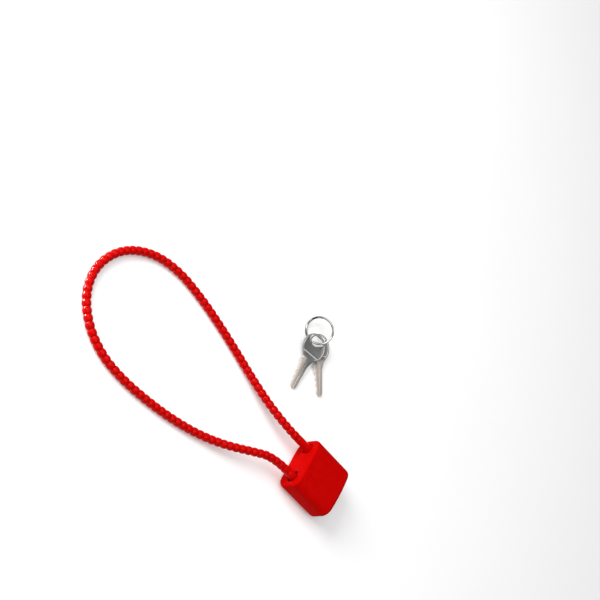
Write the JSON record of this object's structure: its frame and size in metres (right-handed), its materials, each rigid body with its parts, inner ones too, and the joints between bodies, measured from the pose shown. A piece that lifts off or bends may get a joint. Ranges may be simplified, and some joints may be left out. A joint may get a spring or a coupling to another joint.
{
  "type": "cable luggage lock",
  "caption": "Small cable lock for luggage: a rounded block body with a looped beaded cable that plugs in at its free end, a keyed cylinder below, and flat keys on a split ring.",
  "frame": {"origin": "on the centre line of the lock body's flat back face, 14.5 mm below the end that the cable leaves", "axes": "+Z out of the front face, +Y out of the end face that the cable leaves, +X from the free end's hole towards the fixed end's hole"},
  "size_m": [0.1226, 0.1939, 0.0178],
  "materials": {
    "cover_plastic": "glossy moulded red",
    "cap_plastic": "satin moulded red",
    "jacket_plastic": "glossy red cable jacket",
    "case_metal": "die-cast, grey",
    "plug_brass": "turned brass",
    "steel": "plain steel",
    "spring_steel": "drawn wire",
    "rope_steel": "stranded rope",
    "end_nickel": "nickel plated",
    "key_nickel": "nickel plated, stamped",
    "ring_chrome": "bright plated wire"
  },
  "bodies": {
    "lock": {"outer_cover": "cover_plastic", "bottom_cap": "cap_plastic", "lock_case": "case_metal", "mechanism_cover": "steel", "case_screw_1": "steel", "case_screw_2": "steel", "plug_retaining_pin": "steel", "driver_pin_1": "steel", "driver_pin_2": "steel", "driver_pin_3": "steel", "driver_pin_4": "steel", "pin_spring_1": "spring_steel", "pin_spring_2": "spring_steel", "pin_spring_3": "spring_steel", "pin_spring_4": "spring_steel", "fixed_end_ferrule": "steel", "fixed_end_pin": "steel", "fixed_end_sleeve": "jacket_plastic"},
    "plug": {"cylinder_plug": "plug_brass", "plug_cam": "steel", "key_pin_1": "plug_brass", "key_pin_2": "plug_brass", "key_pin_3": "plug_brass", "key_pin_4": "plug_brass"},
    "latch": {"latch_bolt": "steel"},
    "cable_end": {"cable_end_plug": "end_nickel", "end_collar": "jacket_plastic", "cable_jacket": "jacket_plastic", "cable_core": "rope_steel"},
    "ring": {"split_ring": "ring_chrome"},
    "front_key": {"key_1": "key_nickel"},
    "rear_key": {"key_2": "key_nickel"}
  },
  "joints": [
    {"name": "plug_turn", "type": "hinge", "parent": "lock", "child": "plug", "pos_m": [0, 0, 0.0069], "axis": [0, -1, 0], "range_deg": [0, 90]},
    {"name": "latch_slide", "type": "slide", "parent": "lock", "child": "latch", "axis": [-1, 0, 0], "range_m": [0, 0.00212]},
    {"name": "cable_pull", "type": "slide", "parent": "lock", "child": "cable_end", "axis": [0, 1, 0], "range_m": [0, 0.0185], "deforming": ["cable_jacket", "cable_core"]},
    {"name": "keys_lift", "type": "slide", "parent": "lock", "child": "ring", "axis": [0, 0, 1], "range_m": [0, 0.03]},
    {"name": "key_1_swing", "type": "hinge", "parent": "ring", "child": "front_key", "pos_m": [0.06831, 0.04172, 0.00513], "axis": [-0.1377, -0.0179, 0.9903], "range_deg": [-4, 4]},
    {"name": "key_2_swing", "type": "hinge", "parent": "ring", "child": "rear_key", "pos_m": [0.0708, 0.03988, 0.00341], "axis": [-0.0648, -0.0571, 0.9963], "range_deg": [-4, 4]}
  ],
  "couplings": [
    {"joint": "plug_turn", "follows": "latch_slide", "rad_per_m": 740.48}
  ]
}
